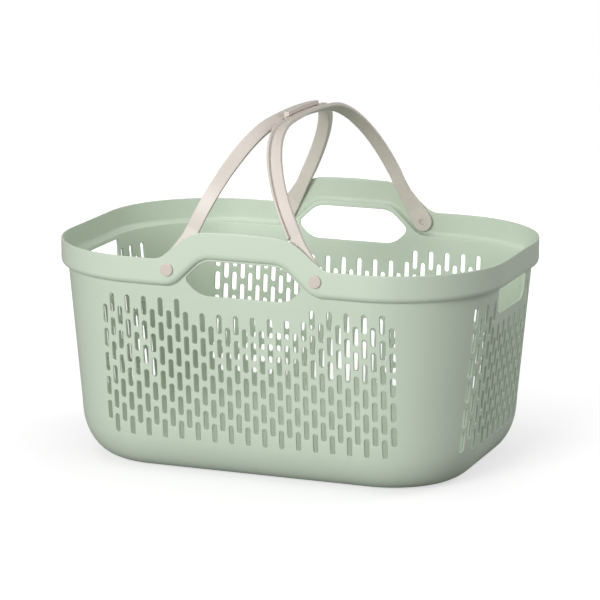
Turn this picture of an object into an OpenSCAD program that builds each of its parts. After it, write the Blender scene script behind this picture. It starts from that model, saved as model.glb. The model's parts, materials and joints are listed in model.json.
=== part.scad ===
// Oblong slotted basket with two swinging bail handles.
// X runs along the long side, Y across it, Z up; the base rests on Z = 0.

/* [Basket] */
// Half length of the rectangle that joins the four corner centres
corner_x = 145; // [120:1:180]
// Half depth of the rectangle that joins the four corner centres
corner_y = 60; // [45:1:80]
// Radius of the wall round each corner centre, carried down to the base plane
wall_r = 113.5; // [95:0.5:125]
// Outward lean of the wall, millimetres for each millimetre of height
wall_lean = 0.09; // [0.05:0.005:0.12]
// Thickness of every wall
wall = 3; // [2.4:0.1:3.4]
// Height at which the rounding at the foot of the wall ends
foot_h = 65; // [40:1:70]
// How far the foot rounding draws the base in
foot_in = 46; // [25:1:55]
// Number of steps in the foot rounding
foot_steps = 8; // [5:1:12]

/* [Band] */
// Height of the underside of the band
band_z = 244.5; // [240:0.5:250]
// Height of the rim at the ends
rim_z = 278; // [274:0.5:284]
// Radius of the band round each corner centre
band_r = 144.3; // [143:0.1:148]
// Height of the raised crown in the middle of each long side
crown_z = 316.5; // [308:0.5:322]
// Half length of the crown where it rises from the rim
crown_foot = 107; // [104:0.5:112]
// Half length of the crown's nearly level top
crown_half = 62; // [55:0.5:66]
// Half length of the rise in the band's underside, at its foot
step_foot = 91; // [89:0.5:94]
// Half length of the rise in the band's underside, at its top
step_half = 51.5; // [48:0.5:54]
// Height of the rise in the band's underside
step_z = 282; // [281.5:0.1:284]

/* [Hand-holds] */
// Height of the lower edge of the long hand-holds
hold_low = 234.5; // [230:0.5:240]
// Height of the upper edge of the long hand-holds
hold_top = 278.5; // [274:0.5:279]
// Half length of the long hand-holds, tip to centre before rounding
hold_half = 77.5; // [70:0.5:78]
// Half width of the hand-hold in each end wall
end_hold_half = 57; // [45:1:58]
// Height of the lower edge of the end hand-holds
end_hold_low = 208.5; // [206:0.5:214]

/* [Slots] */
// Distance from one column of slots to the next
pitch = 11; // [10.5:0.25:11.25]
// Distance from one slot to the next in a column
row = 31.3; // [29:0.1:32]
// Height of the centre of the lowest slot
row_start = 59; // [55:0.5:62]
// Length of a slot
slot_l = 24.5; // [20:0.5:25]
// Width of a slot
slot_w = 6.4; // [4:0.1:7]

/* [Handles] */
// Distance of each pivot from the middle of the basket
pivot_x = 95.8; // [92:0.2:98]
// Height of the pivots
pivot_z = 265.8; // [264:0.2:268]
// Lean of each handle towards the middle when the two grips meet
lean = 26; // [25.5:0.1:26.4]
// Height of the grip above the pivot, along the handle
reach = 192; // [190:0.5:196]
// Half width of the handle between its straight legs
leg_u = 194.2; // [190:0.2:195]
// Radius of the shoulders of the handle
shoulder_r = 129; // [115:1:129]
// Thickness of the strap
strap_t = 5.2; // [4:0.1:5.5]
// Edge of the strap on the side away from the other handle
strap_n0 = -3.75; // [-5:0.05:-3]
// Edge of the strap on the side of the other handle
strap_n1 = 13.2; // [12:0.1:13.4]
// Radius of the round end at the pivot
eye_r = 12.8; // [11:0.1:13]
// Height of the lip along one leg
lip_h = 5; // [3:0.1:5]
// Width of the lip
lip_w = 3.2; // [2:0.1:4]
// Half length of the stretch in which the right grip is cut back for the left one
grip_half = 62; // [60:1:64]
// How far the catch on the left grip runs towards the front
catch_front = 45; // [40:1:58]
// How far the catch on the left grip runs towards the rear
catch_rear = 60; // [50:1:60]

/* [Pins] */
// Radius of the pin's shaft
pin_r = 3.8; // [3:0.1:4.5]
// Radius of the pin's head
head_r = 8; // [6.5:0.1:9]
// Thickness of the pin's head
head_t = 2.6; // [2:0.1:3.5]
// Radial running gap between the shaft and the bore in the wall
running_gap = 0.05; // [0.03:0.01:0.1]

/* [Hidden] */
$fn = 96;
sage = [0.74, 0.80, 0.72];
taupe = [0.84, 0.79, 0.75];
rosy = [0.82, 0.75, 0.71];
far = 700;
band_y = corner_y + band_r;
// The pad at each pivot stands this far off the inside of the band
pad_gap = 0.7;
pad_u = band_y - wall - pad_gap;
pad_top = 20;
// Height above the pivot at which the lip begins, clear of the band
lip_start = 57;
// Height above the pivot at which the strap widens towards the eye
kink_z = 46;
// Height above the pivot of the centre of the shoulders
shoulder_base = 60;
// Where the slot cuts begin and how far out they run
slot_x = 215;
slot_y = 130;
slot_depth = 95;
// Room left between the two grips, and between a head and the band
grip_gap = 0.6;
head_gap = 0.15;
// How far each shaft's end lies below the face of the handle
pin_recess = 1.4;
head_bevel = 0.8;
// Radii that round the outlines of the band, the crown and the hand-holds
step_round = 30;
crown_foot_round = 25;
crown_end_round = 60;
crown_top_round = 400;
crown_fall = 1.8;
hold_round = 30;
hold_tip_round = 8;
end_hold_round = 14;

function wall_at(z) = wall_r + wall_lean * z;

// Radius and height along the elliptical rounding at the foot, from the base up
function foot_arc(inset) = [for (i = [0 : foot_steps])
    let (a = 90 * i / foot_steps, room = foot_h - inset)
    [wall_at(foot_h) - foot_in + (foot_in - inset) * sin(a), inset + room * (1 - cos(a))]];

// A corner of an outline as an arc of radius r that touches both of its sides
function arc_corner(before, at, after, r, n = 8) =
    let (u = (before - at) / norm(before - at), v = (after - at) / norm(after - at),
         half = acos(u * v) / 2, mid = (u + v) / norm(u + v), c = at + mid * r / sin(half),
         p = at + u * r / tan(half) - c, q = at + v * r / tan(half) - c,
         a = atan2(p.y, p.x), turn = atan2(p.x * q.y - p.y * q.x, p * q))
    [for (i = [0 : n]) c + r * [cos(a + turn * i / n), sin(a + turn * i / n)]];

// An outline whose points are [x, y, radius], with radius 0 for a sharp corner
function rounded(p) = let (n = len(p)) [for (i = [0 : n - 1])
    each (p[i].z == 0 ? [[p[i].x, p[i].y]] :
        arc_corner([p[(i + n - 1) % n].x, p[(i + n - 1) % n].y], [p[i].x, p[i].y],
                   [p[(i + 1) % n].x, p[(i + 1) % n].y], p[i].z))];

// Both halves of an outline that is symmetric about x = 0
function mirrored(p) = concat(p, [for (i = [len(p) - 1 : -1 : 0]) [-p[i].x, p[i].y, p[i].z]]);

// A solid with a rounded-rectangle plan whose radius follows a profile of [radius, height]
module rounded_solid(profile) {
    axis = [[0, profile[len(profile) - 1].y], [0, profile[0].y]];
    for (x = [-corner_x, corner_x], y = [-corner_y, corner_y])
        translate([x, y, 0]) rotate_extrude() polygon(concat(profile, axis));
    half_x = [for (p = profile) [p.x + corner_x, p.y]];
    half_y = [for (p = profile) [p.x + corner_y, p.y]];
    rotate([90, 0, 0]) linear_extrude(2 * corner_y, center = true)
        polygon(concat(half_x, [for (i = [len(profile) - 1 : -1 : 0]) [-half_x[i].x, half_x[i].y]]));
    rotate([90, 0, 90]) linear_extrude(2 * corner_x, center = true)
        polygon(concat(half_y, [for (i = [len(profile) - 1 : -1 : 0]) [-half_y[i].x, half_y[i].y]]));
}

// A front-view outline carried through the whole depth of the basket
module through_y(points) rotate([90, 0, 0]) linear_extrude(far, center = true) polygon(points);

// A side-view outline carried through the whole length of the basket
module through_x(points) rotate([90, 0, 90]) linear_extrude(far, center = true) polygon(points);

// Everything below the edge that the band steps out from; lift raises it for the inside
function step_outline(lift) = rounded([
    [-far / 2, -1, 0], [far / 2, -1, 0], [far / 2, band_z + lift, 0],
    [step_foot + lift * 0.35, band_z + lift, step_round],
    [step_half + lift * 0.35, step_z + lift, step_round],
    [-step_half - lift * 0.35, step_z + lift, step_round],
    [-step_foot - lift * 0.35, band_z + lift, step_round],
    [-far / 2, band_z + lift, 0]]);

// Everything below the rim and the raised crown
rim_outline = rounded([
    [-far / 2, -2, 0], [far / 2, -2, 0], [far / 2, rim_z, 0],
    [crown_foot, rim_z, crown_foot_round], [crown_half, crown_z - crown_fall, crown_end_round],
    [0, crown_z, crown_top_round], [-crown_half, crown_z - crown_fall, crown_end_round],
    [-crown_foot, rim_z, crown_foot_round], [-far / 2, rim_z, 0]]);

// Long hand-hold: a straight lower edge, a tip low on each side and a shorter upper edge
hold_mid = (hold_low + hold_top) / 2 - 2.5;
hold_outline = rounded(mirrored([
    [hold_half - 19.5, hold_low, hold_round], [hold_half, hold_mid, hold_tip_round],
    [hold_half - 26.5, hold_top, hold_round]]));
end_hold_outline = rounded(mirrored([
    [end_hold_half - 3, end_hold_low, end_hold_round], [end_hold_half, band_z - wall, wall]]));

// The body below the step joined to the band above it
module skin(inset, lift) {
    body = concat(foot_arc(inset), [[wall_at(crown_z) - inset, crown_z + 1]]);
    band = [[band_r - inset, band_z - 5], [band_r - inset, crown_z + 1]];
    intersection() {
        rounded_solid(body);
        through_y(step_outline(lift));
    }
    difference() {
        rounded_solid(band);
        through_y(step_outline(lift));
    }
}

function is_odd(i) = abs(i) % 2 == 1;

// Heights of the slots in column i; a hand-hold above the column keeps its slots below itself
function slot_heights(i, hold_cols, hold_z) = [for (k = [0 : is_odd(i) ? 4 : 5])
    let (z = row_start + (is_odd(i) ? k + 0.5 : k) * row)
    if (abs(i) > hold_cols || z + slot_l / 2 < hold_z - pitch) z];

// One slot with round ends, cut outwards along +Y; in a curved corner its ends are faceted
module slot(in_corner) {
    straight = slot_l - slot_w;
    rotate([-90, 0, 0]) linear_extrude(slot_depth) {
        square([slot_w, straight], center = true);
        for (y = [-straight / 2, straight / 2])
            translate([0, y]) circle(d = slot_w, $fn = in_corner ? 8 : 24);
    }
}

// Slots through the front wall when side is -1, the rear wall when it is 1
module side_slots(side) {
    for (i = [-17 : 17], z = slot_heights(i, 7, hold_low))
        translate([i * pitch, side * slot_y, z]) rotate([0, 0, 90 - side * 90])
            slot(abs(i) * pitch > corner_x - pitch);
}

// Slots through the left end when side is -1, the right end when it is 1
module end_slots(side) {
    for (i = [-10 : 10], z = slot_heights(i, 5, end_hold_low))
        translate([side * slot_x, i * pitch, z]) rotate([0, 0, -side * 90])
            slot(abs(i) * pitch > corner_y - pitch);
}

module basket_shell() color(sage) difference() {
    intersection() {
        skin(0, 0);
        through_y(rim_outline);
    }
    skin(wall, wall);
    through_y(hold_outline);
    through_x(end_hold_outline);
    for (side = [-1, 1]) {
        side_slots(side);
        end_slots(side);
    }
    for (x = [-pivot_x, pivot_x])
        translate([x, 0, pivot_z]) rotate([90, 0, 0])
            cylinder(h = far, r = pin_r + running_gap, center = true);
}

// Front view of a handle: an arch of even thickness; inset draws the inner edge
function arch(inset) =
    let (cx = leg_u - shoulder_r, rise = reach - shoulder_base,
         big = (cx * cx + rise * rise - shoulder_r * shoulder_r) / (2 * (rise - shoulder_r)),
         a_end = asin(cx / (big - shoulder_r)), r = shoulder_r - inset)
    concat([[pad_u - inset, -eye_r - 3], [pad_u - inset, pad_top]],
        [for (i = [0 : 12]) let (a = (90 - a_end) * i / 12)
            [cx + r * cos(a), shoulder_base + r * sin(a)]],
        [for (i = [1 : 8]) let (a = a_end * (1 - i / 8))
            [(big - inset) * sin(a), reach - big + (big - inset) * cos(a)]]);

// The arch as a closed band in the plane of Y and the handle's own height
module arch_band(inset_out, inset_in) {
    outer = arch(inset_out);
    inner = arch(inset_in);
    half = concat(outer, [for (i = [len(inner) - 1 : -1 : 0]) inner[i]]);
    polygon(half);
    mirror([1, 0]) polygon(half);
}

// Side view of a handle: strap, widened end and eye; n is across the strap
module side_view() {
    polygon(rounded([[strap_n0, reach + 30, 0], [strap_n0, kink_z, 30], [-eye_r * 0.97, 7, 0],
        [0, -4, 0], [5, -eye_r * 0.92, 4], [strap_n1, -1, 6], [strap_n1, reach + 30, 0]]));
    circle(r = eye_r);
}

// A handle standing upright over its pivot, with the other handle on its +X side
module upright_handle(lip_leg) {
    difference() {
        union() {
            intersection() {
                rotate([90, 0, 90]) linear_extrude(60, center = true) arch_band(0, strap_t);
                rotate([90, 0, 0]) linear_extrude(far, center = true) side_view();
            }
            intersection() {
                translate([strap_n1 - lip_w, 0, 0]) rotate([90, 0, 90]) linear_extrude(lip_w)
                    arch_band(-lip_h, 1);
                scale([1, lip_leg, 1]) translate([0, grip_half + 10, lip_start]) cube([60, 300, 300]);
            }
        }
        rotate([90, 0, 0]) cylinder(h = far, r = pin_r, center = true);
    }
}

module left_place() translate([-pivot_x, 0, pivot_z]) rotate([0, lean, 0]) children();
module right_place() mirror([1, 0, 0]) left_place() children();

// The catch stands on the left grip's edge and lies over the right grip; its top is level
module catch() rotate([90, 0, 0]) translate([0, 0, -catch_rear])
    linear_extrude(catch_front + catch_rear) polygon([
        [strap_n1 - 3.6, reach - 3.5], [strap_n1 - 0.9, reach - 2.2], [strap_n1 - 0.4, reach + 5.3],
        [strap_n1 - 2.5, reach + 9.6], [strap_n1 - 8.5, reach + 6.7]]);

module left_handle() color(taupe) left_place() {
    upright_handle(1);
    catch();
}

// The right grip is cut back so that the left grip's edge lies in the gap
module right_handle() color(taupe) difference() {
    right_place() upright_handle(-1);
    left_place() translate([-20, -grip_half, reach - 14])
        cube([20 + strap_n1 + grip_gap, 2 * grip_half, 60]);
}

// A headed pin on the Y axis, its head beyond y = 0 and its shaft towards +Y
module pin() {
    shaft = wall + pad_gap + strap_t - pin_recess;
    rotate([-90, 0, 0]) cylinder(h = shaft, r = pin_r);
    rotate([90, 0, 0]) translate([0, 0, head_gap]) {
        cylinder(h = head_t - head_bevel, r = head_r);
        translate([0, 0, head_t - head_bevel])
            cylinder(h = head_bevel, r1 = head_r, r2 = head_r - head_bevel);
    }
    rotate([90, 0, 0]) cylinder(h = head_gap, r = pin_r);
}

module front_pin(x) color(rosy) translate([x, -band_y, pivot_z]) pin();
module rear_pin(x) color(rosy) translate([x, band_y, pivot_z]) rotate([0, 0, 180]) pin();

module front_left_pin() front_pin(-pivot_x);
module rear_left_pin() rear_pin(-pivot_x);
module front_right_pin() front_pin(pivot_x);
module rear_right_pin() rear_pin(pivot_x);

basket_shell();
left_handle();
right_handle();
front_left_pin();
rear_left_pin();
front_right_pin();
rear_right_pin();
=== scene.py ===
"""An oblong slotted basket of moulded plastic with two swinging bail handles.

Lengths are in millimetres until a piece is finished, and metres from then on.
X runs along the long side, Y across the basket and Z up, with the base on Z = 0.
"""

import json
from math import acos, asin, atan2, cos, pi, radians, sin, sqrt, tan

import bmesh
import bpy
from mathutils import Matrix, Vector
from mathutils.geometry import tessellate_polygon

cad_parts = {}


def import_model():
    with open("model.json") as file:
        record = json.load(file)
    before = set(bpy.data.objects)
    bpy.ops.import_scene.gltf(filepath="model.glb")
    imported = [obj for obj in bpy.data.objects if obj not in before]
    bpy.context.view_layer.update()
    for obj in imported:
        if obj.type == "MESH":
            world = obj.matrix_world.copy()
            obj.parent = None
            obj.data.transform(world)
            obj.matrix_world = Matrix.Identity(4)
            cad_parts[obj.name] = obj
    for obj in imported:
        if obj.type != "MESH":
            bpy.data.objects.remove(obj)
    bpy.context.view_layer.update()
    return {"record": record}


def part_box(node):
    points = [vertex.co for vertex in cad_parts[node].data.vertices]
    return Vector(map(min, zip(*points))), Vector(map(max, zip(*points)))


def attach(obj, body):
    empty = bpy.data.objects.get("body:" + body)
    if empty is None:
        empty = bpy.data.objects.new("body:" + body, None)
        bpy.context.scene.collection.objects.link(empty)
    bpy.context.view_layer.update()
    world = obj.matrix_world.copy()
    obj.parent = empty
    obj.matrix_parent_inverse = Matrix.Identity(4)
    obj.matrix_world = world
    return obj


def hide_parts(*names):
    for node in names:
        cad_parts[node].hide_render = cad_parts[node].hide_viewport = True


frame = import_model()

MM = 0.001

# ---------------------------------------------------------------- dimensions

SHELL_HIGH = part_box("basket_shell")[1]
BAND_R = 144.3                       # outer radius of the band round each corner centre
CORNER_X = SHELL_HIGH[0] / MM - BAND_R
CORNER_Y = SHELL_HIGH[1] / MM - BAND_R
WALL_R = 113.5                       # wall radius carried down to the base plane
LEAN = 0.09                          # outward lean of the wall
WALL = 3.0                           # wall thickness
FOOT_H = 65.0                        # height of the rounding at the foot
FOOT_IN = 46.0                       # how far that rounding draws the base in
FOOT_EDGE = WALL_R + LEAN * FOOT_H

PITCH = 11.0                         # from one column of slots to the next
ROW = 31.3                           # from one slot to the next in a column
ROW_START = 59.0                     # centre of the lowest slot
SLOT_R = 3.2                         # half the width of a slot
SLOT_STRAIGHT = 9.05                 # half the straight part of a slot
SLOT_EDGE = 0.5                      # rounding of a slot's edges
HALF_PITCH = PITCH / 2
HALF_ROW = ROW / 2
LATTICE_LOW = ROW_START - HALF_ROW   # where the slotted part of the wall begins
LATTICE_ROWS = 12                    # half rows up to where it ends
LATTICE_HIGH = LATTICE_LOW + LATTICE_ROWS * HALF_ROW
SIDE_COLUMNS = 17                    # columns each side of the middle, long walls
END_COLUMNS = 10                     # the same on the end walls
CORNER_STEPS = 12                    # facets in each unslotted corner

BAND_Z = 244.5                       # underside of the band
RIM_Z = 278.0                        # rim at the ends
CROWN_Z = 316.5                      # top of the crowns
CROWN_FALL = 1.8                     # fall from there to the bends in its outline
CROWN_HALF = 62.0                    # half length between those bends
CROWN_FOOT = 107.0                   # half length where the crown rises from the rim
STEP_Z = 282.0                       # top of the rise in the band's underside
STEP_HALF = 51.5                     # half length of that rise, at its top
STEP_FOOT = 91.0                     # the same at its foot
STEP_BEND = 30.0                     # radius of its four bends
FLAT_X = 121.0                       # the crowns and long hand-holds lie within this
FLAT_Y = 60.5                        # the end hand-holds lie within this

HOLD_LOW = 234.5                     # lower edge of the long hand-holds
HOLD_TOP = 278.5                     # upper edge
HOLD_TIP_Z = 254.0                   # height of their tips
HOLD_HALF = 77.5                     # half length, tip to centre
HOLD_LOW_HALF = 58.0                 # half length of the lower edge
HOLD_TOP_HALF = 51.0                 # half length of the upper edge
HOLD_COLUMNS = 7                     # slot columns each side of the middle under a long hand-hold
END_HOLD_LOW = 208.5                 # lower edge of the end hand-holds
END_HOLD_HALF = 57.0                 # half length of their upper edge
END_HOLD_COLUMNS = 5                 # slot columns each side of the middle under them
END_HOLD_ROW = 10                    # half row at which the end hand-hold's plate starts

JOINTS = {joint["name"]: joint for joint in frame["record"]["behaviour"]["joints"]}
PIVOT = Vector(JOINTS["right_handle_swing"]["pos_m"]) / MM
BORE_R = 3.85                        # bore in the band for a pin

HANDLE_LEAN = radians(26)            # each handle leans in by this when the grips meet
REACH = 192.0                        # height of the grip, along the handle
LEG_U = 194.2                        # half width between the straight legs
PAD_U = 200.6                        # the same at the pads, which lie against the band
PAD_TOP = 20.0                       # where the pad bends into the leg
SHOULDER_R = 129.0                   # radius of the arch's shoulders
SHOULDER_S = 60.0                    # height of the centre of the shoulders
STRAP = 5.2                          # thickness of the strap
STRAP_FAR = -3.75                    # strap's edge away from the other handle
STRAP_NEAR = 13.2                    # strap's edge towards the other handle
EYE_R = 12.8                         # round end at the pivot
KINK_S = 46.0                        # where the strap widens towards the eye
LIP_H = 5.0                          # height of the lip on one leg
LIP_LOW = 3.0                        # its height where it crosses the right grip
LIP_START = 57.0                     # the lip starts this high above the pivot
LIP_RAMP = SHOULDER_S - LIP_START    # length over which it rises to its height
GRIP_HALF = 62.0                     # half length of the grips
LIP_END = GRIP_HALF + 10             # half length at which a lip runs out on the crown
CATCH_FRONT = 45.0                   # the catch on the left grip runs from here
CATCH_REAR = 60.0                    # to here
NOTCH_FRONT = 56.0                   # a notch lies between here and the catch
NOTCH_IN = 4.5                       # depth of the notch
CUT = 0.2                            # run of a square-cut end along the strap
EYE_HOLE_R = 3.8                     # hole in each eye
HEAD_R = 8.0                         # pin head
HEAD_GAP = 0.15                      # running gap under a pin head
HEAD_BEVEL = 1.1                     # rounding of a pin head
DISH_RIM = 4.6                       # width of the flat round the dish in a pin head
DISH_WALL = 0.5                      # width of the slope into that dish
DISH_DEPTH = 0.22                    # depth of the dish
SHAFT_BEVEL = 0.5                    # chamfer on the end of a pin's shaft


# ---------------------------------------------------------------- outlines

def clamp(value):
    """The value, held between 0 and 1."""
    return min(max(value, 0), 1)


def round_corner(before, at, after, radius, steps):
    """A rounded corner as (point, left-hand normal) pairs, in the direction of travel."""
    to_before = (before - at).normalized()
    to_after = (after - at).normalized()
    half = to_before.angle(to_after) / 2
    centre = at + (to_before + to_after).normalized() * radius / sin(half)
    start = at + to_before * radius / tan(half) - centre
    turn = (after - at).cross(before - at)
    bend = 1 if turn > 0 else -1
    sweep = bend * (pi - 2 * half)
    first = atan2(start.y, start.x)
    pairs = []
    for step in range(steps + 1):
        angle = first + sweep * step / steps
        ray = Vector((cos(angle), sin(angle)))
        pairs.append((centre + ray * radius, ray * -bend))
    return pairs


def trace(corners, closed, steps=8):
    """An outline from (x, z, radius) corners; the open ends of a path have radius 0."""
    points = [Vector(corner[:2]) for corner in corners]
    count = len(points)
    pairs = []
    for i, corner in enumerate(corners):
        if not closed and i in (0, count - 1):
            pairs.append((points[i], Vector((0, 1))))
            continue
        pairs += round_corner(points[i - 1], points[i], points[(i + 1) % count],
                              corner[2], steps)
    return pairs


def mirrored(corners):
    """Adds the left half to the right half of a symmetric outline."""
    return corners + [(-x, z, radius) for x, z, radius in reversed(corners)]


def offset(pairs, distance):
    """The outline's points moved along their normals."""
    return [point + normal * distance for point, normal in pairs]


STEP_PATH = trace([(-FLAT_X, BAND_Z, 0), (-STEP_FOOT, BAND_Z, STEP_BEND),
                   (-STEP_HALF, STEP_Z, STEP_BEND), (STEP_HALF, STEP_Z, STEP_BEND),
                   (STEP_FOOT, BAND_Z, STEP_BEND), (FLAT_X, BAND_Z, 0)], closed=False)
RIM_PATH = trace([(-FLAT_X, RIM_Z, 0), (-CROWN_FOOT, RIM_Z, 25),
                  (-CROWN_HALF, CROWN_Z - CROWN_FALL, 60), (0, CROWN_Z, 400),
                  (CROWN_HALF, CROWN_Z - CROWN_FALL, 60), (CROWN_FOOT, RIM_Z, 25),
                  (FLAT_X, RIM_Z, 0)], closed=False)
SIDE_HOLD = trace(mirrored([(HOLD_LOW_HALF, HOLD_LOW, 30), (HOLD_HALF, HOLD_TIP_Z, 8),
                            (HOLD_TOP_HALF, HOLD_TOP, 30)]), closed=True)
END_HOLD = trace(mirrored([(END_HOLD_HALF - 3, END_HOLD_LOW, 14),
                           (END_HOLD_HALF, BAND_Z - WALL, 3)]), closed=True)
BORE_STEPS = 32
BORE = [(Vector((cos(turn), sin(turn))) * BORE_R, -Vector((cos(turn), sin(turn))))
        for turn in [2 * pi * step / BORE_STEPS for step in range(BORE_STEPS)]]


# ---------------------------------------------------------------- basket shell

def outer_radius(z):
    """Outer radius of the wall round a corner centre."""
    if z >= FOOT_H:
        return WALL_R + LEAN * z
    return FOOT_EDGE - FOOT_IN + FOOT_IN * sin(acos(1 - z / FOOT_H))


def inner_radius(z):
    """Inner radius of the wall round a corner centre."""
    if z >= FOOT_H:
        return outer_radius(z) - WALL
    rise = clamp((z - WALL) / (FOOT_H - WALL))
    return FOOT_EDGE - FOOT_IN + (FOOT_IN - WALL) * sin(acos(1 - rise))


class Side:
    """One of the four walls. Its places are (a, z): a runs along +X or +Y."""

    def __init__(self, along_x, sign):
        self.along_x = along_x
        self.sign = sign
        self.half = CORNER_X if along_x else CORNER_Y
        self.reach = CORNER_Y if along_x else CORNER_X

    def place(self, a, z, radius, turn_radius=None):
        """A point at this radius; past the flat of the wall it goes round the corner."""
        over = max(abs(a) - self.half, 0)
        turn = asin(over / (turn_radius or radius))
        if over:
            a = (self.half + radius * sin(turn)) * (1 if a > 0 else -1)
        out = self.sign * (self.reach + radius * cos(turn))
        return (a, out, z) if self.along_x else (out, a, z)


FRONT, REAR = Side(True, -1), Side(True, 1)
LEFT, RIGHT = Side(False, -1), Side(False, 1)
SIDES = (FRONT, REAR, LEFT, RIGHT)


def lattice(columns):
    """Places along a wall at every half pitch, from one border of its slots to the other."""
    count = 2 * columns + 1
    return [HALF_PITCH * step for step in range(-count, count + 1)]


SIDE_LATTICE = lattice(SIDE_COLUMNS)
END_LATTICE = lattice(END_COLUMNS)


def stations():
    """The whole way round the basket: (side, a) on the walls, (sign x, sign y, share) between."""
    share = [step / CORNER_STEPS for step in range(1, CORNER_STEPS)]
    loop = [(FRONT, a) for a in SIDE_LATTICE]
    loop += [(1, -1, s) for s in share]
    loop += [(RIGHT, a) for a in END_LATTICE]
    loop += [(1, 1, s) for s in reversed(share)]
    loop += [(REAR, a) for a in reversed(SIDE_LATTICE)]
    loop += [(-1, 1, s) for s in share]
    loop += [(LEFT, a) for a in reversed(END_LATTICE)]
    loop += [(-1, -1, s) for s in reversed(share)]
    return loop


STATIONS = stations()


class Skin:
    """The outer or the inner surface of the shell."""

    def __init__(self, radius_at, band_radius):
        self.radius_at = radius_at
        self.band_radius = band_radius

    def blend(self, z, share):
        """Radius between the wall's, at share 0, and the band's, at share 1."""
        return self.radius_at(z) * (1 - share) + self.band_radius * share

    def place(self, station, z, radius):
        """A point at a station; past the slotted part it keeps that part's corner angle."""
        turn_radius = self.radius_at(min(max(z, LATTICE_LOW), LATTICE_HIGH))
        if len(station) == 2:
            return station[0].place(station[1], z, radius, turn_radius)
        first = asin((SIDE_LATTICE[-1] - CORNER_X) / turn_radius)
        last = pi / 2 - asin((END_LATTICE[-1] - CORNER_Y) / turn_radius)
        turn = first + (last - first) * station[2]
        return (station[0] * (CORNER_X + radius * sin(turn)),
                station[1] * (CORNER_Y + radius * cos(turn)), z)


OUTER = Skin(outer_radius, BAND_R)
INNER = Skin(inner_radius, BAND_R - WALL)


def in_plate(station):
    """True between the borders of the flat plate that holds a hand-hold."""
    if len(station) == 3:
        return False
    side, a = station
    return abs(a) < (FLAT_X if side.along_x else FLAT_Y) - 0.01


class Faces:
    """Gathers loose faces; weld() makes one closed mesh of them."""

    def __init__(self):
        self.points = []
        self.faces = []

    def add(self, *corners):
        first = len(self.points)
        self.points += corners
        self.faces.append(range(first, first + len(corners)))

    def bridge(self, row, next_row, closed=True):
        """Quads between two rows of points."""
        for i in range(len(row) if closed else len(row) - 1):
            k = (i + 1) % len(row)
            self.add(row[i], row[k], next_row[k], next_row[i])

    def plate(self, loops, place):
        """Fills a flat outline, less its holes; loops are 2-D and place lifts them to 3-D."""
        flat = [[Vector((p[0], p[1], 0)) for p in loop] for loop in loops]
        lifted = [place(p[0], p[1]) for loop in loops for p in loop]
        for triple in tessellate_polygon(flat):
            self.add(*[lifted[i] for i in triple])

    def weld(self, name):
        """One object in metres, its faces pointing outwards."""
        mesh = bpy.data.meshes.new(name)
        mesh.from_pydata(self.points, [], self.faces)
        work = bmesh.new()
        work.from_mesh(mesh)
        bmesh.ops.remove_doubles(work, verts=work.verts, dist=0.01)
        bmesh.ops.dissolve_degenerate(work, edges=work.edges, dist=0.001)
        bmesh.ops.recalc_face_normals(work, faces=work.faces)
        bmesh.ops.scale(work, vec=(MM, MM, MM), verts=work.verts)
        work.to_mesh(mesh)
        work.free()
        piece = bpy.data.objects.new(name, mesh)
        bpy.context.collection.objects.link(piece)
        return piece


def slot_ring(radius):
    """Sixteen places round a slot, from the middle of its right side, counter-clockwise."""
    ring = [(radius, 0)]
    for cap in (1, -1):
        for step in range(7):
            turn = pi * step / 6
            ring.append((cap * radius * cos(turn), cap * (SLOT_STRAIGHT + radius * sin(turn))))
        ring.append((-cap * radius, 0))
    return ring[:16]


SLOT_WALL = [(SLOT_R + SLOT_EDGE, 0), (SLOT_R, SLOT_EDGE), (SLOT_R, WALL - SLOT_EDGE),
             (SLOT_R + SLOT_EDGE, WALL)]


def wall_point(side, a, z, depth):
    """A point in the wall at a depth below its outer surface."""
    radius = outer_radius(z) + (inner_radius(z) - outer_radius(z)) * depth / WALL
    return side.place(a, z, radius)


def slot_cell(shell, side, x, z):
    """A slot with rounded edges, and the skin round it out to its neighbours."""
    border = [(HALF_PITCH, 0), (HALF_PITCH, HALF_ROW), (0, HALF_ROW), (-HALF_PITCH, HALF_ROW),
              (-HALF_PITCH, 0), (-HALF_PITCH, -HALF_ROW), (0, -HALF_ROW),
              (HALF_PITCH, -HALF_ROW)]
    rings = [[wall_point(side, x + dx, z + dz, depth) for dx, dz in slot_ring(radius)]
             for radius, depth in SLOT_WALL]
    for ring, depth in ((rings[0], 0), (rings[-1], WALL)):
        edge = [wall_point(side, x + dx, z + dz, depth) for dx, dz in border]
        for quarter in range(4):
            middle, corner, after = 2 * quarter, 2 * quarter + 1, (2 * quarter + 2) % 8
            near = 4 * quarter
            far = (near + 4) % 16
            shell.add(edge[middle], edge[corner], ring[near + 1], ring[near])
            shell.add(edge[corner], ring[near + 2], ring[near + 1])
            shell.add(edge[corner], ring[near + 3], ring[near + 2])
            shell.add(edge[corner], edge[after], ring[far], ring[near + 3])
    for ring, next_ring in zip(rings, rings[1:]):
        shell.bridge(ring, next_ring)


def plain_cell(shell, side, x, row, rows):
    """Unslotted skin in one column, over some half rows of the lattice."""
    for depth in (0, WALL):
        for step in range(row, row + rows):
            low = LATTICE_LOW + step * HALF_ROW
            edges = [[wall_point(side, x + dx, z, depth) for dx in (-HALF_PITCH, 0, HALF_PITCH)]
                     for z in (low, low + HALF_ROW)]
            shell.bridge(*edges, closed=False)


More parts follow.
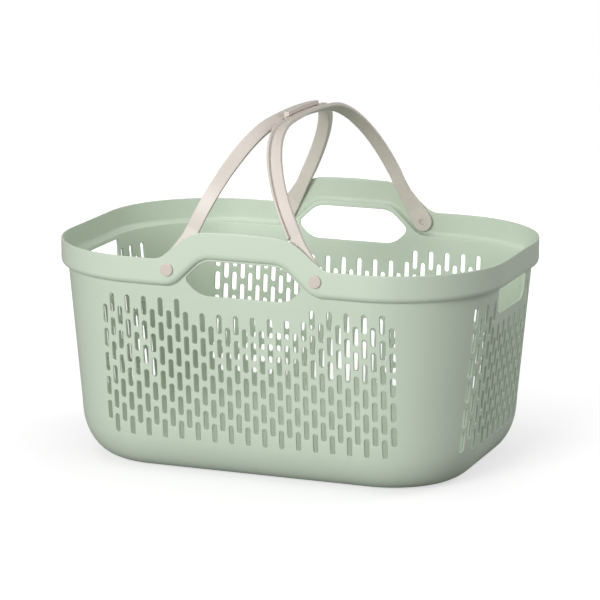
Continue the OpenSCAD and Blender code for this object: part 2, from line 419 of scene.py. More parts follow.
def slotted_walls(shell):
    """Every column of slots on the four walls."""
    for side in SIDES:
        columns = SIDE_COLUMNS if side.along_x else END_COLUMNS
        for i in range(-columns, columns + 1):
            under_hold = abs(i) <= (HOLD_COLUMNS if side.along_x else END_HOLD_COLUMNS)
            top_row = LATTICE_ROWS
            if under_hold and not side.along_x:
                top_row = END_HOLD_ROW
            row = i % 2
            if row:
                plain_cell(shell, side, i * PITCH, 0, 1)
            while row + 2 <= top_row:
                keeps_slot = not (under_hold and side.along_x and row == LATTICE_ROWS - 2)
                if keeps_slot:
                    slot_cell(shell, side, i * PITCH, LATTICE_LOW + (row + 1) * HALF_ROW)
                else:
                    plain_cell(shell, side, i * PITCH, row, 2)
                row += 2
            if row < top_row:
                plain_cell(shell, side, i * PITCH, row, 1)


def corner_walls(shell):
    """The unslotted corners between the long walls and the end walls."""
    heights = [LATTICE_LOW + step * HALF_ROW for step in range(LATTICE_ROWS + 1)]
    shares = [step / CORNER_STEPS for step in range(CORNER_STEPS + 1)]
    for skin in (OUTER, INNER):
        for sign_x in (-1, 1):
            for sign_y in (-1, 1):
                rows = [[skin.place((sign_x, sign_y, share), z, skin.radius_at(z))
                         for share in shares] for z in heights]
                for row, next_row in zip(rows, rows[1:]):
                    shell.bridge(row, next_row, closed=False)


def foot(shell, steps=9):
    """The rounding at the foot, and the two faces of the floor."""
    for skin, floor_z in ((OUTER, 0), (INNER, WALL)):
        room = FOOT_H - floor_z
        last = acos(1 - (LATTICE_LOW - floor_z) / room)
        heights = [floor_z + room * (1 - cos(last * step / steps)) for step in range(steps + 1)]
        rows = [[skin.place(station, z, skin.radius_at(z)) for station in STATIONS]
                for z in heights[:-1] + [LATTICE_LOW]]
        for row, next_row in zip(rows, rows[1:]):
            shell.bridge(row, next_row)
        centre = (0, 0, floor_z)
        for i, point in enumerate(rows[0]):
            shell.add(centre, point, rows[0][(i + 1) % len(rows[0])])


def ease(share):
    """0 to 1 along a quarter of a cosine."""
    return 1 - cos(share * pi / 2)


# Rows of (height above the step, share of the way from the wall out to the band)
STEP_ROUND = 7.5
OUTER_STEP = [(-1.0, 0), (-0.6, 0.04), (-0.2, 0.11)]
OUTER_STEP += [(STEP_ROUND * ease(t / 8), 0.15 + 0.85 * sin(t / 8 * pi / 2)) for t in range(9)]
INNER_STEP = [(1.5, 0), (2.4, 0.04), (2.8, 0.12)]
INNER_STEP += [(3 + 5.5 * ease(t / 7), 0.25 + 0.75 * sin(t / 7 * pi / 2)) for t in range(8)]
# Rows of (height below or at the rim, depth) over the top of the wall
RIM_ROWS = [(-1.0, 0), (-0.3, 0.3), (0, 1.0), (0, WALL - 1.0), (-0.3, WALL - 0.3), (-1.0, WALL)]
# Rows of (distance outside the opening, depth) through a hand-hold or a bore
HOLD_ROWS = [(0.8, 0), (0.24, 0.24), (0, 0.8), (0, WALL - 0.8), (0.24, WALL - 0.24), (0.8, WALL)]
BORE_ROWS = [(0.4, 0), (0, 0.4), (0, WALL - 0.4), (0.4, WALL)]


def edge_row(skin, path, base_z, rise, radius_at):
    """A row of points right round the basket, along a path across each long wall's middle."""
    row = []
    for side, other, ends in ((FRONT, REAR, 1), (REAR, FRONT, -1)):
        for a, z in offset(path, rise)[::ends]:
            row.append(side.place(a, z, radius_at(z)))
        k = STATIONS.index((side, FLAT_X * ends)) + 1
        while STATIONS[k % len(STATIONS)] != (other, FLAT_X * ends):
            z = base_z + rise
            row.append(skin.place(STATIONS[k % len(STATIONS)], z, radius_at(z)))
            k += 1
    return row


def band_and_rim(shell):
    """The step out to the band on both skins, and the rounded rim that joins them."""
    for skin, rows in ((OUTER, OUTER_STEP), (INNER, INNER_STEP)):
        loops = [edge_row(skin, STEP_PATH, BAND_Z, rise,
                          lambda z, share=share, skin=skin: skin.blend(z, share))
                 for rise, share in rows]
        for loop, next_loop in zip(loops, loops[1:]):
            shell.bridge(loop, next_loop)
    loops = [edge_row(OUTER if depth < WALL / 2 else INNER, RIM_PATH, RIM_Z, rise,
                      lambda z, depth=depth: BAND_R - depth) for rise, depth in RIM_ROWS]
    for loop, next_loop in zip(loops, loops[1:]):
        shell.bridge(loop, next_loop)


def plain_walls(shell):
    """Skin from the slots up to the step, and the band, outside the hand-hold plates."""
    for skin, rows in ((OUTER, OUTER_STEP), (INNER, INNER_STEP)):
        step_low = BAND_Z + rows[0][0]
        band_low = BAND_Z + rows[-1][0]
        band_high = RIM_Z + RIM_ROWS[0][0]
        for i, station in enumerate(STATIONS):
            after = STATIONS[(i + 1) % len(STATIONS)]
            inside = in_plate(station) or in_plate(after)
            pair = (station, after)
            if not inside:
                shell.bridge([skin.place(s, LATTICE_HIGH, skin.radius_at(LATTICE_HIGH)) for s in pair],
                             [skin.place(s, step_low, skin.radius_at(step_low)) for s in pair],
                             closed=False)
            if not (inside and station[0] in (FRONT, REAR)):
                shell.bridge([skin.place(s, band_low, skin.band_radius) for s in pair],
                             [skin.place(s, band_high, skin.band_radius) for s in pair],
                             closed=False)


def wall_radius(z, depth):
    return outer_radius(z) - depth


def band_radius(z, depth):
    return BAND_R - depth


def opening(shell, side, outline, rows, centre, radius_at):
    """The rounded edge of a hand-hold or a bore, through the wall."""
    loops = []
    for outside, depth in rows:
        places = [point + centre for point in offset(outline, -outside)]
        loops.append([side.place(a, z, radius_at(z, depth)) for a, z in places])
    for loop, next_loop in zip(loops, loops[1:]):
        shell.bridge(loop, next_loop)


def side_plates(shell):
    """The flat middle of each long wall: hand-hold below the step, crown and bores above it."""
    along = [a for a in SIDE_LATTICE if abs(a) <= FLAT_X + 0.01]
    bores = [[point + Vector((sign * PIVOT.x, PIVOT.z)) for point in offset(BORE, -BORE_ROWS[0][0])]
             for sign in (-1, 1)]
    for side in (FRONT, REAR):
        for skin, rows in ((OUTER, OUTER_STEP), (INNER, INNER_STEP)):
            low = [(a, LATTICE_HIGH) for a in along]
            high = offset(STEP_PATH, rows[0][0])[::-1]
            hold = offset(SIDE_HOLD, -HOLD_ROWS[0][0])
            shell.plate([low + high, hold],
                        lambda a, z, skin=skin, side=side: side.place(a, z, skin.radius_at(z)))
            low = offset(STEP_PATH, rows[-1][0])
            high = offset(RIM_PATH, RIM_ROWS[0][0])[::-1]
            shell.plate([low + high] + bores,
                        lambda a, z, skin=skin, side=side: side.place(a, z, skin.band_radius))
        opening(shell, side, SIDE_HOLD, HOLD_ROWS, Vector((0, 0)), wall_radius)
        for sign in (-1, 1):
            opening(shell, side, BORE, BORE_ROWS, Vector((sign * PIVOT.x, PIVOT.z)), band_radius)


def end_plates(shell):
    """The flat middle of each end wall, with its hand-hold."""
    along = [a for a in END_LATTICE if abs(a) <= FLAT_Y + 0.01]
    bottom = LATTICE_LOW + END_HOLD_ROW * HALF_ROW
    edge = [LATTICE_LOW + row * HALF_ROW for row in range(END_HOLD_ROW + 1, LATTICE_ROWS + 1)]
    for side in (LEFT, RIGHT):
        for skin, rows in ((OUTER, OUTER_STEP), (INNER, INNER_STEP)):
            top = BAND_Z + rows[0][0]
            outline = [(a, bottom) for a in along] + [(along[-1], z) for z in edge]
            outline += [(a, top) for a in reversed(along)]
            outline += [(along[0], z) for z in reversed(edge)]
            shell.plate([outline, offset(END_HOLD, -HOLD_ROWS[0][0])],
                        lambda a, z, skin=skin, side=side: side.place(a, z, skin.radius_at(z)))
        opening(shell, side, END_HOLD, HOLD_ROWS, Vector((0, 0)), wall_radius)


def make_basket_shell():
    shell = Faces()
    slotted_walls(shell)
    corner_walls(shell)
    foot(shell)
    band_and_rim(shell)
    plain_walls(shell)
    side_plates(shell)
    end_plates(shell)
    return shell.weld("basket")


# ---------------------------------------------------------------- handles

KINK_R = 30.0                        # bend in the strap's far edge where it widens
KINK_RUN = 3.3                       # the bend begins this far above the kink
KINK_CENTRE = Vector((STRAP_FAR - KINK_R, KINK_S + KINK_RUN))
FLARE = asin((EYE_R + KINK_R) / KINK_CENTRE.length) - atan2(-KINK_CENTRE.x, KINK_CENTRE.y)
EYE_TOP = 16.0                       # the strap's cross rows start here, above the eye
EYE_SIDE_S = 8.0                     # last place on the straight far side, before the eye's arc
EYE_END = radians(8)                 # that arc stops this far short of the near side
RIDGE = 0.25                         # fine ridge on the inner face where the pad bends
RIDGE_REACH = 0.8                    # how far the ridge runs up and down the strap
LEG_ROWS = [EYE_TOP, PAD_TOP - RIDGE_REACH, PAD_TOP, PAD_TOP + RIDGE_REACH, 26, 34, 40, 42,
            44, 46, 48, 50, 53, LIP_START, LIP_START + LIP_RAMP / 2]
SHOULDER_STEPS = 14
CROWN_STEPS = 12
ARCH_CX = LEG_U - SHOULDER_R
ARCH_RISE = REACH - SHOULDER_S
ARCH_R = (ARCH_CX ** 2 + ARCH_RISE ** 2 - SHOULDER_R ** 2) / (2 * (ARCH_RISE - SHOULDER_R))
ARCH_END = asin(ARCH_CX / (ARCH_R - SHOULDER_R))

# Rows of (distance in from the edge, height above the inner face) over a strap's edge
SOFT = 1.2
EDGE_BELOW = [(0, SOFT), (0.16, 0.6), (0.6, 0.16), (SOFT, 0)]
PLAIN_EDGE = [(SOFT, STRAP)] * 9 + [(0.6, STRAP - 0.16), (0.16, STRAP - 0.6), (0, STRAP - SOFT)]
PLAIN_EDGE += EDGE_BELOW
NOTCH_EDGE = [(inset + NOTCH_IN, w) for inset, w in PLAIN_EDGE]
# The catch: up its far side, over its level top, and in under it round the right grip's lip
CATCH_EDGE = [(6.3, STRAP), (5.65, STRAP + 0.15), (5.5, STRAP + 0.7), (8.2, 11.2), (8.15, 11.75),
              (7.7, 12.2), (3.3, 14.35), (2.8, 14.4), (2.5, 13.9), (0.8, 10.5), (3.7, 7.1),
              (0.6, 4.65)] + EDGE_BELOW


def lip_edge(height):
    """Edge rows with a lip of this height."""
    top = STRAP + height
    return [(4.0, STRAP), (3.43, STRAP + 0.23), (3.2, STRAP + 0.8), (3.2, top - 0.8),
            (2.97, top - 0.23), (2.4, top), (SOFT, top), (SOFT, top), (SOFT, top),
            (0.6, top - 0.16), (0.16, top - 0.6), (0, top - SOFT)] + EDGE_BELOW


# Rows of (distance outside the hole, height above the inner face) through an eye
EYE_HOLE = [(0.4, STRAP), (0, STRAP - 0.4), (0, 0.4), (0.4, 0)]


def mixed(rows, other_rows, share):
    """Edge rows between two kinds of edge."""
    return [(a + (c - a) * share, b + (d - b) * share)
            for (a, b), (c, d) in zip(rows, other_rows)]


def far_edge(s):
    """(edge, inward normal) of the strap on the side away from the other handle."""
    ray = Vector((cos(FLARE), -sin(FLARE)))
    touch = KINK_CENTRE + ray * KINK_R
    if s >= KINK_CENTRE.y:
        return STRAP_FAR, Vector((1, 0))
    if s > touch.y:
        ray = Vector((sqrt(KINK_R ** 2 - (s - KINK_CENTRE.y) ** 2), s - KINK_CENTRE.y)) / KINK_R
        return KINK_CENTRE.x + ray.x * KINK_R, ray
    return touch.x + (s - touch.y) * tan(FLARE), ray


def leg_u(s, w):
    """How far out a leg stands, at height s along it and w above its inner face."""
    share = clamp((s - PAD_TOP) / (SHOULDER_S - PAD_TOP))
    ridge = RIDGE * max(0, 1 - abs(s - PAD_TOP) / RIDGE_REACH) * (1 - w / STRAP)
    return PAD_U + (LEG_U - PAD_U) * share - STRAP + w - ridge


def leg_point(leg, n, s, normal):
    """A place on the strap's outline on one leg, as a function of (inset, w)."""
    def at(inset, w):
        height = s + normal.y * inset
        return n + normal.x * inset, height, leg * leg_u(height, w)
    return at


def arch_point(leg, centre, radius, turn, n, normal):
    """The same on the arch: turn is from upright, about a centre (u, s)."""
    def at(inset, w):
        r = radius - STRAP + w
        return (n + normal.x * inset, centre[1] + r * cos(turn),
                leg * (centre[0] + r * sin(turn)))
    return at


def arch_turns():
    """(centre, radius, turn) down one half of the arch, from its middle to the leg."""
    centre = (0, REACH - ARCH_R)
    ends = (CATCH_FRONT, CATCH_REAR, NOTCH_FRONT)
    marks = [asin(u / ARCH_R) for end in ends for u in (end, end + CUT)]
    marks += [asin(u / ARCH_R) for u in (GRIP_HALF, LIP_END - LIP_RAMP, LIP_END, LIP_END + LIP_RAMP)]
    marks += [ARCH_END * step / CROWN_STEPS for step in range(CROWN_STEPS + 1)]
    turns = [(centre, ARCH_R, turn) for turn in sorted(marks)]
    span = pi / 2 - ARCH_END
    turns += [((ARCH_CX, SHOULDER_S), SHOULDER_R, ARCH_END + span * step / SHOULDER_STEPS)
              for step in range(1, SHOULDER_STEPS + 1)]
    return turns


def near_rows(handle, u, s):
    """The kind of edge towards the other handle, at a place on the strap."""
    if handle < 0 and -CATCH_FRONT - CUT / 2 < u < CATCH_REAR + CUT / 2:
        return CATCH_EDGE
    if handle < 0 and -NOTCH_FRONT - CUT / 2 < u < 0:
        return NOTCH_EDGE
    up_the_leg = clamp((s - LIP_START) / LIP_RAMP)
    before_its_end = clamp(handle * (LIP_END - u) / LIP_RAMP)
    over_grip = clamp((LIP_END - abs(u)) / (LIP_END - GRIP_HALF))
    height = LIP_H + (LIP_LOW - LIP_H) * over_grip
    return mixed(PLAIN_EDGE, lip_edge(height), min(up_the_leg, before_its_end))


def make_handle(name, handle):
    """A bail in its rest pose: handle is -1 for the left one and 1 for the right one."""
    pivot = Vector((handle * PIVOT.x, 0, PIVOT.z))
    across = Vector((-handle * cos(HANDLE_LEAN), 0, -sin(HANDLE_LEAN)))
    up = Vector((-handle * sin(HANDLE_LEAN), 0, cos(HANDLE_LEAN)))

    def world(place):
        n, s, u = place
        return tuple(pivot + across * n + up * s + Vector((0, u, 0)))

    far, near, eyes = [], [], {}
    for leg in (-1, 1):
        side_far, side_near = [], []
        for s in LEG_ROWS:
            n, normal = far_edge(s)
            side_far.append((leg_point(leg, n, s, normal), PLAIN_EDGE))
            side_near.append((leg_point(leg, STRAP_NEAR, s, Vector((-1, 0))),
                              near_rows(handle, leg * LEG_U, s)))
        for centre, radius, turn in reversed(arch_turns()):
            u = leg * (centre[0] + radius * sin(turn))
            s = centre[1] + radius * cos(turn)
            side_far.append((arch_point(leg, centre, radius, turn, STRAP_FAR, Vector((1, 0))),
                             PLAIN_EDGE))
            side_near.append((arch_point(leg, centre, radius, turn, STRAP_NEAR, Vector((-1, 0))),
                              near_rows(handle, u, s)))
        eyes[leg] = [(leg_point(leg, n, s, normal), PLAIN_EDGE)
                     for n, s, normal in eye_outline()]
        if leg > 0:
            side_far = side_far[-2::-1]
            side_near = side_near[-2::-1]
        far += side_far
        near += side_near

    strap = Faces()
    outline = far + eyes[1] + near[::-1] + eyes[-1][::-1]
    edges = [[world(at(inset, w)) for inset, w in rows] for at, rows in outline]
    for i, column in enumerate(edges):
        strap.bridge(column, edges[(i + 1) % len(edges)], closed=False)
    for row in (0, -1):
        far_row = [world(at(*rows[row])) for at, rows in far]
        near_row = [world(at(*rows[row])) for at, rows in near]
        strap.bridge(far_row, near_row, closed=False)
    for leg in (-1, 1):
        eye_faces(strap, leg, eyes[leg], far, near, world)
    return strap.weld(name)


def eye_outline(steps=22):
    """(n, s, inward normal) round the eye, from the far edge to the near one."""
    n, normal = far_edge(EYE_SIDE_S)
    places = [(n, EYE_SIDE_S, normal)]
    first, last = pi - FLARE, 2 * pi - EYE_END
    for step in range(steps + 1):
        turn = first + (last - first) * step / steps
        ray = Vector((cos(turn), sin(turn)))
        places.append((EYE_R * ray.x, EYE_R * ray.y, -ray))
    places.append((STRAP_NEAR - 0.1, 1.2, Vector((-1, 0.06)).normalized()))
    places.append((STRAP_NEAR, 6, Vector((-1, 0))))
    return places


def eye_faces(strap, leg, eye, far, near, world):
    """Both faces of the eye, round its hole, and the wall of the hole."""
    ends = (far[0], near[0]) if leg < 0 else (far[-1], near[-1])
    around = [ends[0]] + eye + [ends[1]]
    circle = [Vector((cos(turn), sin(turn)))
              for turn in [2 * pi * step / BORE_STEPS for step in range(BORE_STEPS)]]
    for row, w in ((0, STRAP), (-1, 0)):
        rim = [at(*rows[row])[:2] for at, rows in around]
        hole = [tuple(ray * (EYE_HOLE_R + EYE_HOLE[row][0])) for ray in circle]
        strap.plate([rim, hole], lambda n, s, w=w: world((n, s, leg * leg_u(s, w))))
    loops = [[world((*(ray * (EYE_HOLE_R + wider)), leg * leg_u(0, w))) for ray in circle]
             for wider, w in EYE_HOLE]
    for loop, next_loop in zip(loops, loops[1:]):
        strap.bridge(loop, next_loop)


# ---------------------------------------------------------------- pins

def select_faces(piece, test):
    """In edit mode, selects only the faces that pass a test."""
    bpy.ops.mesh.select_mode(type="FACE")
    bpy.ops.mesh.select_all(action="DESELECT")
    work = bmesh.from_edit_mesh(piece.data)
    for face in work.faces:
        face.select = test(face)
    work.select_flush_mode()
    bmesh.update_edit_mesh(piece.data)


def make_pin(name, x, end):
    """A headed pin: end is -1 at the front and 1 at the rear."""
    node_low, node_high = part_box(name)
    outer_y = node_low[1] if end < 0 else node_high[1]
    inner_y = node_high[1] if end < 0 else node_low[1]
    head_low = end * (CORNER_Y + BAND_R + HEAD_GAP) * MM
    bpy.ops.object.select_all(action="DESELECT")
    bpy.ops.mesh.primitive_cylinder_add(
        vertices=64, radius=HEAD_R * MM, depth=abs(outer_y - head_low),
        location=(x * MM, (outer_y + head_low) / 2, PIVOT.z * MM), rotation=(pi / 2, 0, 0))
    pin = bpy.context.object
    pin.name = name.replace("pin", "button_pin")
    bpy.ops.object.transform_apply(location=True, rotation=True, scale=True)
    bpy.ops.object.mode_set(mode="EDIT")
    select_faces(pin, lambda face: face.normal.y * end > 0.9)
    bpy.ops.mesh.bevel(offset=HEAD_BEVEL * MM, segments=4, affect="EDGES")
    select_faces(pin, lambda face: face.normal.y * end > 0.999 and len(face.verts) > 8)
    bpy.ops.mesh.inset(thickness=DISH_RIM * MM)
    bpy.ops.mesh.inset(thickness=DISH_WALL * MM, depth=-DISH_DEPTH * MM)
    select_faces(pin, lambda face: face.normal.y * end < -0.9)
    bpy.ops.mesh.inset(thickness=(HEAD_R - EYE_HOLE_R) * MM)
    bpy.ops.mesh.extrude_region_move(
        TRANSFORM_OT_translate={"value": (0, inner_y - head_low, 0)})
    bpy.ops.mesh.bevel(offset=SHAFT_BEVEL * MM, segments=2, affect="EDGES")
    bpy.ops.mesh.select_all(action="SELECT")
    bpy.ops.mesh.normals_make_consistent(inside=False)
    bpy.ops.object.mode_set(mode="OBJECT")
    return pin


# ---------------------------------------------------------------- materials

COARSE_SHARE = 0.3                   # scale of the coarse grain, as a share of the fine one's
COARSE_WEIGHT = 0.6                  # height of the coarse grain, against the fine one's
GLOSS_SCALE = 14.0                   # scale of the drift in gloss
PIGMENT_SCALE = 7.0                  # scale of the drift in colour
HIGHLIGHT_BREAK_SCALE = 120.0                    # scale of the breaks in the painted edge highlight
HIGHLIGHT_BREAK_FLOOR = 0.35                     # painted highlight left in those breaks
HIGHLIGHT_FROM = 0.53                   # pointiness at which an edge starts to get the painted highlight
HIGHLIGHT_TO = 0.62                     # and at which it is fully so
GRAIN_STRENGTH = 0.35                # strength of the bump that the grain makes


def new_group(name, inputs, outputs):
    """An empty shader node group; inputs are (name, kind, default) and outputs (name, kind)."""
    group = bpy.data.node_groups.new(name, "ShaderNodeTree")
    for label, kind, default in inputs:
        socket = group.interface.new_socket(label, in_out="INPUT", socket_type=kind)
        if default is not None:
            socket.default_value = default
    for label, kind in outputs:
        group.interface.new_socket(label, in_out="OUTPUT", socket_type=kind)
    return group, group.nodes.new("NodeGroupInput"), group.nodes.new("NodeGroupOutput")


def combine(tree, operation, a, b):
    """A Math node; a and b are sockets or numbers."""
    node = tree.nodes.new("ShaderNodeMath")
    node.operation = operation
    for socket, value in zip(node.inputs, (a, b)):
        if isinstance(value, (int, float)):
            socket.default_value = value
        else:
            tree.links.new(value, socket)
    return node.outputs[0]


def noise(tree, vector, scale, detail):
    """A noise pattern's value over a vector."""
    node = tree.nodes.new("ShaderNodeTexNoise")
    node.inputs["Detail"].default_value = detail
    if isinstance(scale, (int, float)):
        node.inputs["Scale"].default_value = scale
    else:
        tree.links.new(scale, node.inputs["Scale"])
    tree.links.new(vector, node.inputs["Vector"])
    return node.outputs[0]


def moulded_grain():
    """Fine spark-eroded grain of a mould, with its height and a slow drift in gloss."""
    group, given, result = new_group(
        "moulded_grain",
        [("Vector", "NodeSocketVector", None), ("Grain Scale", "NodeSocketFloat", 1500.0),
         ("Gloss", "NodeSocketFloat", 0.45), ("Gloss Drift", "NodeSocketFloat", 0.08)],
        [("Height", "NodeSocketFloat"), ("Roughness", "NodeSocketFloat")])
    place = given.outputs["Vector"]
    fine = noise(group, place, given.outputs["Grain Scale"], 2.0)
    coarse_scale = combine(group, "MULTIPLY", given.outputs["Grain Scale"], COARSE_SHARE)
    coarse = noise(group, place, coarse_scale, 3.0)
    height = combine(group, "ADD", fine, combine(group, "MULTIPLY", coarse, COARSE_WEIGHT))
    group.links.new(height, result.inputs["Height"])
    slow = combine(group, "SUBTRACT", noise(group, place, GLOSS_SCALE, 2.0), 0.5)
    drift = combine(group, "MULTIPLY", slow, given.outputs["Gloss Drift"])
    group.links.new(combine(group, "ADD", given.outputs["Gloss"], drift), result.inputs["Roughness"])
    return group


def pigment_and_edge_highlight():
    """A colour with slow pigment drift, and a painted highlight that makes sharp edges paler."""
    group, given, result = new_group(
        "pigment_and_edge_highlight",
        [("Vector", "NodeSocketVector", None), ("Colour", "NodeSocketColor", (1, 1, 1, 1)),
         ("Edge Highlight Colour", "NodeSocketColor", (1, 1, 1, 1)), ("Edge Highlight", "NodeSocketFloat", 0.3),
         ("Drift", "NodeSocketFloat", 0.05)],
        [("Colour", "NodeSocketColor")])
    slow = combine(group, "SUBTRACT", noise(group, given.outputs["Vector"], PIGMENT_SCALE, 3.0), 0.5)
    value = combine(group, "ADD", combine(group, "MULTIPLY", slow, given.outputs["Drift"]), 1.0)
    shade = group.nodes.new("ShaderNodeHueSaturation")
    group.links.new(given.outputs["Colour"], shade.inputs["Color"])
    group.links.new(value, shade.inputs["Value"])
    # Sharp convex edges, found by pointiness, get a painted highlight, broken into patches by noise.
    shape = group.nodes.new("ShaderNodeNewGeometry")
    edge = group.nodes.new("ShaderNodeMapRange")
    edge.inputs["From Min"].default_value = HIGHLIGHT_FROM
    edge.inputs["From Max"].default_value = HIGHLIGHT_TO
    group.links.new(shape.outputs["Pointiness"], edge.inputs["Value"])
    highlight_breaks = combine(group, "ADD", noise(group, given.outputs["Vector"], HIGHLIGHT_BREAK_SCALE, 3.0), HIGHLIGHT_BREAK_FLOOR)
    edge_highlight_mask = combine(group, "MULTIPLY", edge.outputs["Result"], highlight_breaks)
    amount = combine(group, "MULTIPLY", edge_highlight_mask, given.outputs["Edge Highlight"])
    mix = group.nodes.new("ShaderNodeMix")
    mix.data_type = "RGBA"
    group.links.new(amount, mix.inputs["Factor"])
    group.links.new(shade.outputs["Color"], mix.inputs["A"])
    group.links.new(given.outputs["Edge Highlight Colour"], mix.inputs["B"])
    group.links.new(mix.outputs["Result"], result.inputs["Colour"])
    return group


GRAIN = moulded_grain()
PIGMENT_AND_EDGE_HIGHLIGHT = pigment_and_edge_highlight()


def moulded_plastic(name, colour, edge_highlight_colour, gloss, grain_depth, grain_scale, highlight_strength):
    """Satin moulded plastic in one colour, paler on sharp edges with a painted highlight."""
    material = bpy.data.materials.new(name)
    material.use_nodes = True
    tree = material.node_tree
    shader = tree.nodes["Principled BSDF"]
    place = tree.nodes.new("ShaderNodeTexCoord").outputs["Object"]
    grain = tree.nodes.new("ShaderNodeGroup")
    grain.node_tree = GRAIN
    grain.inputs["Grain Scale"].default_value = grain_scale
    grain.inputs["Gloss"].default_value = gloss
    tree.links.new(place, grain.inputs["Vector"])
    # Colour with pigment drift, and a painted highlight on sharp edges.
    tone_and_highlight = tree.nodes.new("ShaderNodeGroup")
    tone_and_highlight.node_tree = PIGMENT_AND_EDGE_HIGHLIGHT
    tone_and_highlight.inputs["Colour"].default_value = (*colour, 1)
    tone_and_highlight.inputs["Edge Highlight Colour"].default_value = (*edge_highlight_colour, 1)
    tone_and_highlight.inputs["Edge Highlight"].default_value = highlight_strength
    tree.links.new(place, tone_and_highlight.inputs["Vector"])
    bump = tree.nodes.new("ShaderNodeBump")
    bump.inputs["Strength"].default_value = GRAIN_STRENGTH
    bump.inputs["Distance"].default_value = grain_depth
    tree.links.new(grain.outputs["Height"], bump.inputs["Height"])
    tree.links.new(bump.outputs["Normal"], shader.inputs["Normal"])
    tree.links.new(grain.outputs["Roughness"], shader.inputs["Roughness"])
    tree.links.new(tone_and_highlight.outputs["Colour"], shader.inputs["Base Color"])
    return material


# ---------------------------------------------------------------- pieces

def finish_piece(piece, material, body, node, sharp=35):
    """Smooth shading, the material, the body it rides with, and the CAD part that it takes the place
    of, hidden.
    """
    bpy.ops.object.select_all(action="DESELECT")
    bpy.context.view_layer.objects.active = piece
    piece.select_set(True)
    bpy.ops.object.shade_smooth_by_angle(angle=radians(sharp))
    bpy.ops.object.modifier_add(type="WEIGHTED_NORMAL")
    piece.modifiers[-1].keep_sharp = True
    bpy.ops.object.modifier_apply(modifier=piece.modifiers[-1].name)
    piece.data.materials.clear()
    piece.data.materials.append(material)
    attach(piece, body)
    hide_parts(node)


# The second colour of each is the painted highlight on its sharp edges.
SAGE = moulded_plastic("sage_polypropylene", (0.575, 0.665, 0.543), (0.72, 0.80, 0.69),
                       gloss=0.46, grain_depth=0.00003, grain_scale=1600, highlight_strength=0.30)
TAUPE = moulded_plastic("taupe_polypropylene", (0.665, 0.607, 0.550), (0.80, 0.76, 0.72),
                        gloss=0.42, grain_depth=0.00003, grain_scale=1500, highlight_strength=0.35)
ROSY = moulded_plastic("rosy_nylon", (0.640, 0.565, 0.505), (0.80, 0.73, 0.69),
                       gloss=0.38, grain_depth=0.00002, grain_scale=2200, highlight_strength=0.35)

basket = make_basket_shell()
finish_piece(basket, SAGE, "basket", "basket_shell")
for side_name, handle in (("left", -1), ("right", 1)):
    body = side_name + "_bail"
    bail = make_handle(side_name + "_bail_handle", handle)
    finish_piece(bail, TAUPE, body, side_name + "_handle")
    for end_name, end in (("front", -1), ("rear", 1)):
        node = end_name + "_" + side_name + "_pin"
        finish_piece(make_pin(node, handle * PIVOT.x, end), ROSY, body, node)


# ---------------------------------------------------------------- stage, light and camera

FLOOR_R = 2.0
FADE_FROM = 0.3                      # the floor turns white from here, outwards from the middle
FADE_TO = 1.3                        # to here
FLOOR_GLOW = 0.62                    # its glow at the middle; 1 is the backdrop's


def seen_directly(tree):
    """1 where a ray comes straight from the camera, so that the pale stage lends little light."""
    return tree.nodes.new("ShaderNodeLightPath").outputs["Is Camera Ray"]


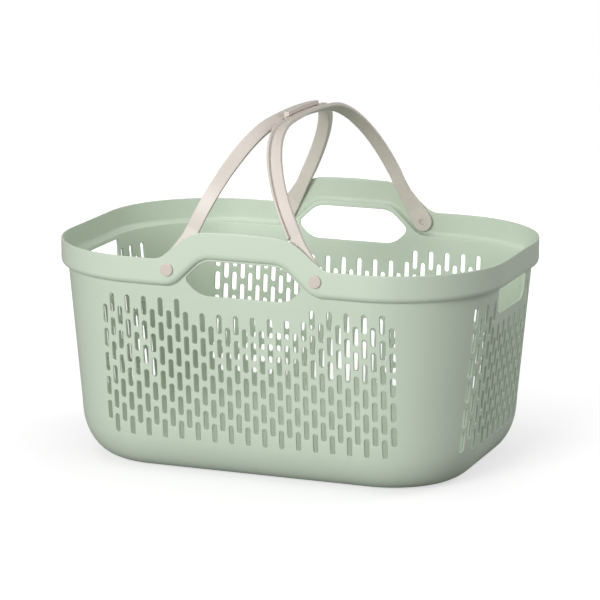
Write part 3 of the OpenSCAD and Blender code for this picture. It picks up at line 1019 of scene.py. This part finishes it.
def make_floor():
    """A plain pale floor that runs out into the white backdrop."""
    bpy.ops.object.select_all(action="DESELECT")
    bpy.ops.mesh.primitive_circle_add(vertices=64, radius=FLOOR_R, fill_type="NGON",
                                      location=(0, 0, -0.0002))
    floor = bpy.context.object
    floor.name = "floor"
    pale = bpy.data.materials.new("pale_floor")
    pale.use_nodes = True
    tree = pale.node_tree
    shader = tree.nodes["Principled BSDF"]
    shader.inputs["Roughness"].default_value = 0.9
    shader.inputs["Specular IOR Level"].default_value = 0.1
    shader.inputs["Emission Color"].default_value = (1, 1, 1, 1)
    seen = seen_directly(tree)
    mix = tree.nodes.new("ShaderNodeMix")
    mix.data_type = "RGBA"
    mix.inputs["A"].default_value = (0.38, 0.38, 0.38, 1)
    mix.inputs["B"].default_value = (0.45, 0.45, 0.45, 1)
    tree.links.new(seen, mix.inputs["Factor"])
    tree.links.new(mix.outputs["Result"], shader.inputs["Base Color"])
    reach = tree.nodes.new("ShaderNodeVectorMath")
    reach.operation = "LENGTH"
    tree.links.new(tree.nodes.new("ShaderNodeTexCoord").outputs["Object"], reach.inputs[0])
    fade = tree.nodes.new("ShaderNodeMapRange")
    fade.inputs["From Min"].default_value = FADE_FROM
    fade.inputs["From Max"].default_value = FADE_TO
    fade.inputs["To Min"].default_value = FLOOR_GLOW
    fade.inputs["To Max"].default_value = 1.0
    tree.links.new(reach.outputs["Value"], fade.inputs["Value"])
    glow = combine(tree, "MULTIPLY", fade.outputs["Result"], seen)
    tree.links.new(glow, shader.inputs["Emission Strength"])
    floor.data.materials.append(pale)


def make_world(strength, backdrop):
    """Even dim light all round, in front of a white backdrop."""
    world = bpy.data.worlds.new("studio")
    world.use_nodes = True
    tree = world.node_tree
    background = tree.nodes["Background"]
    background.inputs["Color"].default_value = (1, 1, 1, 1)
    seen = seen_directly(tree)
    level = combine(tree, "ADD", combine(tree, "MULTIPLY", seen, backdrop - strength), strength)
    tree.links.new(level, background.inputs["Strength"])
    bpy.context.scene.world = world


def area_light(name, place, size, power, target=(0, 0, 0.2)):
    """A soft square lamp aimed at the basket."""
    data = bpy.data.lights.new(name, "AREA")
    data.size = size
    data.energy = power
    lamp = bpy.data.objects.new(name, data)
    lamp.location = place
    lamp.rotation_euler = (Vector(target) - Vector(place)).to_track_quat("-Z", "Y").to_euler()
    bpy.context.collection.objects.link(lamp)


def make_camera():
    """The camera looks down on the front wall, from the right of the middle."""
    azimuth, elevation, roll = radians(20.765), radians(12.495), radians(0.18)
    distance = 3.9828
    aim = Vector((-0.00312, 0.00681, 0.19205))
    away = Vector((sin(azimuth) * cos(elevation), -cos(azimuth) * cos(elevation),
                   sin(elevation)))
    data = bpy.data.cameras.new("camera")
    data.sensor_width = 36
    data.lens = 188.35
    data.clip_end = 100
    camera = bpy.data.objects.new("camera", data)
    camera.location = aim + away * distance
    turn = (-away).to_track_quat("-Z", "Y").to_matrix().to_4x4()
    camera.rotation_euler = (turn @ Matrix.Rotation(roll, 4, "Z")).to_euler()
    bpy.context.collection.objects.link(camera)
    bpy.context.scene.camera = camera


make_floor()
area_light("key", (-0.62, -3.65, 1.45), size=1.8, power=116)
area_light("top", (-0.3, -0.2, 3.2), size=2.4, power=36)
area_light("back_right", (2.8, 2.3, 1.9), size=1.8, power=55)
make_world(strength=0.20, backdrop=1.0)
bpy.context.scene.view_settings.view_transform = "Standard"
make_camera()
